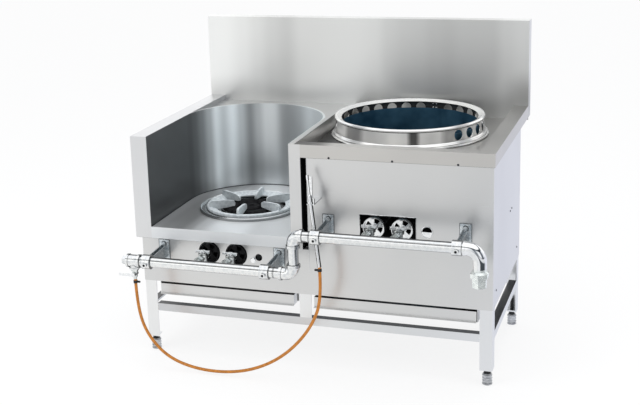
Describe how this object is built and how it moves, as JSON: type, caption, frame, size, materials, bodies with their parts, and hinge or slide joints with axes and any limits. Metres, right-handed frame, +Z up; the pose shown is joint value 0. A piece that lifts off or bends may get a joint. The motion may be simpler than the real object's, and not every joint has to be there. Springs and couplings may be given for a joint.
{
  "type": "wok range",
  "caption": "Freestanding gas wok range with a wok ring on a recessed table, a sunken stock pot bay, back guard, gas manifold, hand lighter on a hose and drip trays on legs.",
  "frame": {"origin": "middle of the footprint, measured without the hose, on the floor under the feet", "axes": "+X to the right along the front, +Y to the back guard, +Z up"},
  "size_m": [1.203, 0.9088, 1.05],
  "materials": {
    "stainless_sheet": "brushed stainless sheet",
    "stainless_angle": "mill stainless angle",
    "polished_stainless": "polished",
    "heat_tinted_steel": "heat tinted blue grey",
    "cast_iron": "grey paint on rough cast iron",
    "chrome": "polished chrome plate",
    "brass": "nickel-plated brass, satin",
    "zinc_pipe": "galvanised",
    "zinc_plate": "blue zinc plate",
    "lever_metal": "satin die casting",
    "torch_tube": "satin",
    "hose_rubber": "orange gas hose, satin",
    "black_plastic": "black"
  },
  "bodies": {
    "range_body": {"back_guard": "stainless_sheet", "cock_bodies": "brass", "end_tee": "zinc_pipe", "fixing_bolts": "zinc_plate", "front_panel_left": "stainless_sheet", "front_panel_right": "stainless_sheet", "furnace_liner": "heat_tinted_steel", "hose_clips": "black_plastic", "inlet_socket": "brass", "inlet_union": "chrome", "left_wing": "stainless_sheet", "leg_front_left": "stainless_angle", "leg_front_right": "stainless_angle", "leg_rear_left": "stainless_angle", "leg_rear_right": "stainless_angle", "lighter_cock": "brass", "lighter_hose": "hose_rubber", "lighter_torch": "torch_tube", "lower_pipe": "zinc_pipe", "lower_rails": "stainless_angle", "manifold_elbows": "zinc_pipe", "mid_posts": "stainless_angle", "outlet_elbow": "chrome", "partition": "stainless_sheet", "pipe_brackets": "zinc_plate", "rear_panel": "stainless_sheet", "rear_strip": "stainless_sheet", "riser_pipe": "zinc_pipe", "saddle_clamps": "zinc_pipe", "side_panel_left": "stainless_sheet", "side_panel_right": "stainless_sheet", "splash_wall": "stainless_sheet", "stock_burner_inner": "cast_iron", "stock_burner_outer": "cast_iron", "stock_deck": "stainless_sheet", "torch_hook": "zinc_plate", "tray_runners": "stainless_angle", "upper_pipe": "zinc_pipe", "venturi_tubes": "cast_iron", "wok_burner_inner": "cast_iron", "wok_burner_outer": "cast_iron", "wok_table": "stainless_sheet"},
    "foot_front_left": {"foot_front_left": "chrome"},
    "foot_front_right": {"foot_front_right": "chrome"},
    "foot_rear_left": {"foot_rear_left": "chrome"},
    "foot_rear_right": {"foot_rear_right": "chrome"},
    "air_shutter_stock_inner": {"air_shutter_stock_inner": "zinc_plate"},
    "cock_lever_stock_inner": {"cock_lever_stock_inner": "lever_metal"},
    "air_shutter_stock_outer": {"air_shutter_stock_outer": "zinc_plate"},
    "cock_lever_stock_outer": {"cock_lever_stock_outer": "lever_metal"},
    "air_shutter_wok_inner": {"air_shutter_wok_inner": "zinc_plate"},
    "cock_lever_wok_inner": {"cock_lever_wok_inner": "lever_metal"},
    "air_shutter_wok_outer": {"air_shutter_wok_outer": "zinc_plate"},
    "cock_lever_wok_outer": {"cock_lever_wok_outer": "lever_metal"},
    "drip_tray_left": {"drip_tray_left": "stainless_sheet"},
    "drip_tray_right": {"drip_tray_right": "stainless_sheet"},
    "lighter_lever": {"lighter_lever": "lever_metal"},
    "pan_ring": {"pan_ring": "polished_stainless"},
    "trivet": {"trivet": "cast_iron"},
    "wok_ring": {"wok_ring": "polished_stainless"}
  },
  "joints": [
    {"name": "foot_front_left_screw", "type": "slide", "parent": "range_body", "child": "foot_front_left", "axis": [0, 0, -1], "range_m": [0, 0.03]},
    {"name": "foot_front_right_screw", "type": "slide", "parent": "range_body", "child": "foot_front_right", "axis": [0, 0, -1], "range_m": [0, 0.03]},
    {"name": "foot_rear_left_screw", "type": "slide", "parent": "range_body", "child": "foot_rear_left", "axis": [0, 0, -1], "range_m": [0, 0.03]},
    {"name": "foot_rear_right_screw", "type": "slide", "parent": "range_body", "child": "foot_rear_right", "axis": [0, 0, -1], "range_m": [0, 0.03]},
    {"name": "cock_stock_inner_turn", "type": "hinge", "parent": "range_body", "child": "cock_lever_stock_inner", "pos_m": [-0.3407, -0.34757, 0.368], "axis": [0, 0, 1], "range_deg": [0, 90]},
    {"name": "air_stock_inner_turn", "type": "hinge", "parent": "range_body", "child": "air_shutter_stock_inner", "pos_m": [-0.3407, -0.29057, 0.368], "axis": [0, 1, 0], "range_deg": [0, 45]},
    {"name": "cock_stock_outer_turn", "type": "hinge", "parent": "range_body", "child": "cock_lever_stock_outer", "pos_m": [-0.2457, -0.34757, 0.368], "axis": [0, 0, 1], "range_deg": [0, 90]},
    {"name": "air_stock_outer_turn", "type": "hinge", "parent": "range_body", "child": "air_shutter_stock_outer", "pos_m": [-0.2457, -0.29057, 0.368], "axis": [0, 1, 0], "range_deg": [0, 45]},
    {"name": "cock_wok_inner_turn", "type": "hinge", "parent": "range_body", "child": "cock_lever_wok_inner", "pos_m": [0.2203, -0.34757, 0.494], "axis": [0, 0, 1], "range_deg": [0, 90]},
    {"name": "air_wok_inner_turn", "type": "hinge", "parent": "range_body", "child": "air_shutter_wok_inner", "pos_m": [0.2203, -0.29057, 0.494], "axis": [0, 1, 0], "range_deg": [0, 45]},
    {"name": "cock_wok_outer_turn", "type": "hinge", "parent": "range_body", "child": "cock_lever_wok_outer", "pos_m": [0.3113, -0.34757, 0.494], "axis": [0, 0, 1], "range_deg": [0, 90]},
    {"name": "air_wok_outer_turn", "type": "hinge", "parent": "range_body", "child": "air_shutter_wok_outer", "pos_m": [0.3113, -0.29057, 0.494], "axis": [0, 1, 0], "range_deg": [0, 45]},
    {"name": "lighter_cock_turn", "type": "hinge", "parent": "range_body", "child": "lighter_lever", "pos_m": [-0.5487, -0.43957, 0.324], "axis": [0, -1, 0], "range_deg": [0, 90]},
    {"name": "drip_tray_left_slide", "type": "slide", "parent": "range_body", "child": "drip_tray_left", "axis": [0, -1, 0], "range_m": [0, 0.42]},
    {"name": "drip_tray_right_slide", "type": "slide", "parent": "range_body", "child": "drip_tray_right", "axis": [0, -1, 0], "range_m": [0, 0.1]},
    {"name": "wok_ring_lift", "type": "slide", "parent": "range_body", "child": "wok_ring", "axis": [0, 0, 1], "range_m": [0, 0.1]},
    {"name": "pan_ring_lift", "type": "slide", "parent": "range_body", "child": "pan_ring", "axis": [0, 0, 1], "range_m": [0, 0.08]},
    {"name": "trivet_lift", "type": "slide", "parent": "pan_ring", "child": "trivet", "axis": [0, 0, 1], "range_m": [0, 0.1]}
  ]
}
